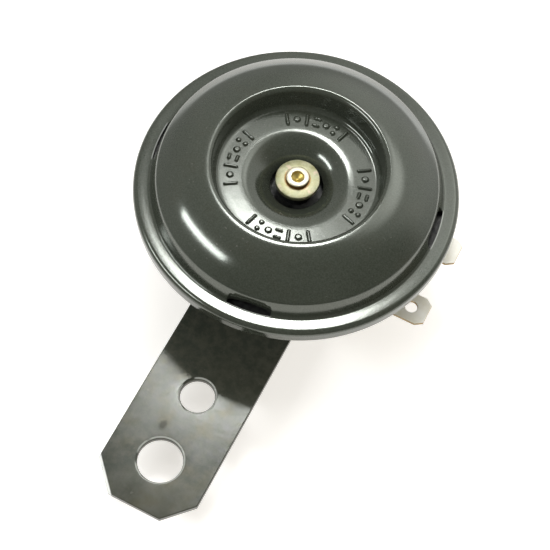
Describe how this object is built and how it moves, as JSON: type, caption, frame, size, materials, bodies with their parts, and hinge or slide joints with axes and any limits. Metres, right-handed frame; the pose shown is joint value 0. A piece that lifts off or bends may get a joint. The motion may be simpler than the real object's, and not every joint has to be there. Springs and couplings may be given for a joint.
{
  "type": "car horn",
  "caption": "Small round electric disc horn with a domed front, a central stem, two spade terminals and a flat two-hole mounting bracket.",
  "frame": {"origin": "centre of the bracket's larger fixing hole, on the bracket's back face", "axes": "+Z along the horn's axis, the way the sound leaves; +Y from the fixing hole to the horn's axis; +X the way the terminals point"},
  "size_m": [0.0664, 0.0998, 0.039],
  "materials": {
    "black_steel": "gloss",
    "bracket_steel": "satin",
    "yellow_zinc": "satin",
    "tin": "satin",
    "zinc": "satin",
    "iron": "satin",
    "spring_steel": "satin",
    "gasket": "matte",
    "bobbin": "matte",
    "winding": "satin",
    "insulator": "satin",
    "contact_brass": "satin"
  },
  "bodies": {
    "housing": {"front_cover": "black_steel", "rear_housing": "black_steel", "mounting_bracket": "bracket_steel", "front_gasket": "gasket", "rear_gasket": "gasket", "diaphragm": "spring_steel", "pole_core": "iron", "coil_bobbin": "bobbin", "coil_winding": "winding", "breaker_base_insulator": "insulator", "breaker_spacer_insulator": "insulator", "breaker_top_insulator": "insulator", "breaker_moving_arm": "contact_brass", "breaker_fixed_arm": "contact_brass", "breaker_rivet": "zinc", "moving_contact": "tin", "fixed_contact": "tin", "adjuster_bush": "zinc", "adjusting_screw": "zinc", "terminal_plate_outer": "insulator", "terminal_plate_inner": "insulator", "spade_terminal_coil": "tin", "spade_terminal_breaker": "tin", "terminal_rivet_coil": "contact_brass", "terminal_rivet_breaker": "contact_brass", "coil_lead_terminal": "winding", "coil_lead_breaker": "winding", "breaker_lead": "winding", "spring_washer": "zinc", "hex_nut": "zinc"},
    "armature_body": {"armature": "iron", "stem": "yellow_zinc", "stem_collar": "spring_steel", "stem_washer": "yellow_zinc"}
  },
  "joints": [
    {"name": "diaphragm_travel", "type": "slide", "parent": "housing", "child": "armature_body", "axis": [0, 0, 1], "range_m": [-0.0006, 0.0004], "stiffness_N_per_m": 20000, "deforming": ["diaphragm", "breaker_moving_arm"]}
  ]
}
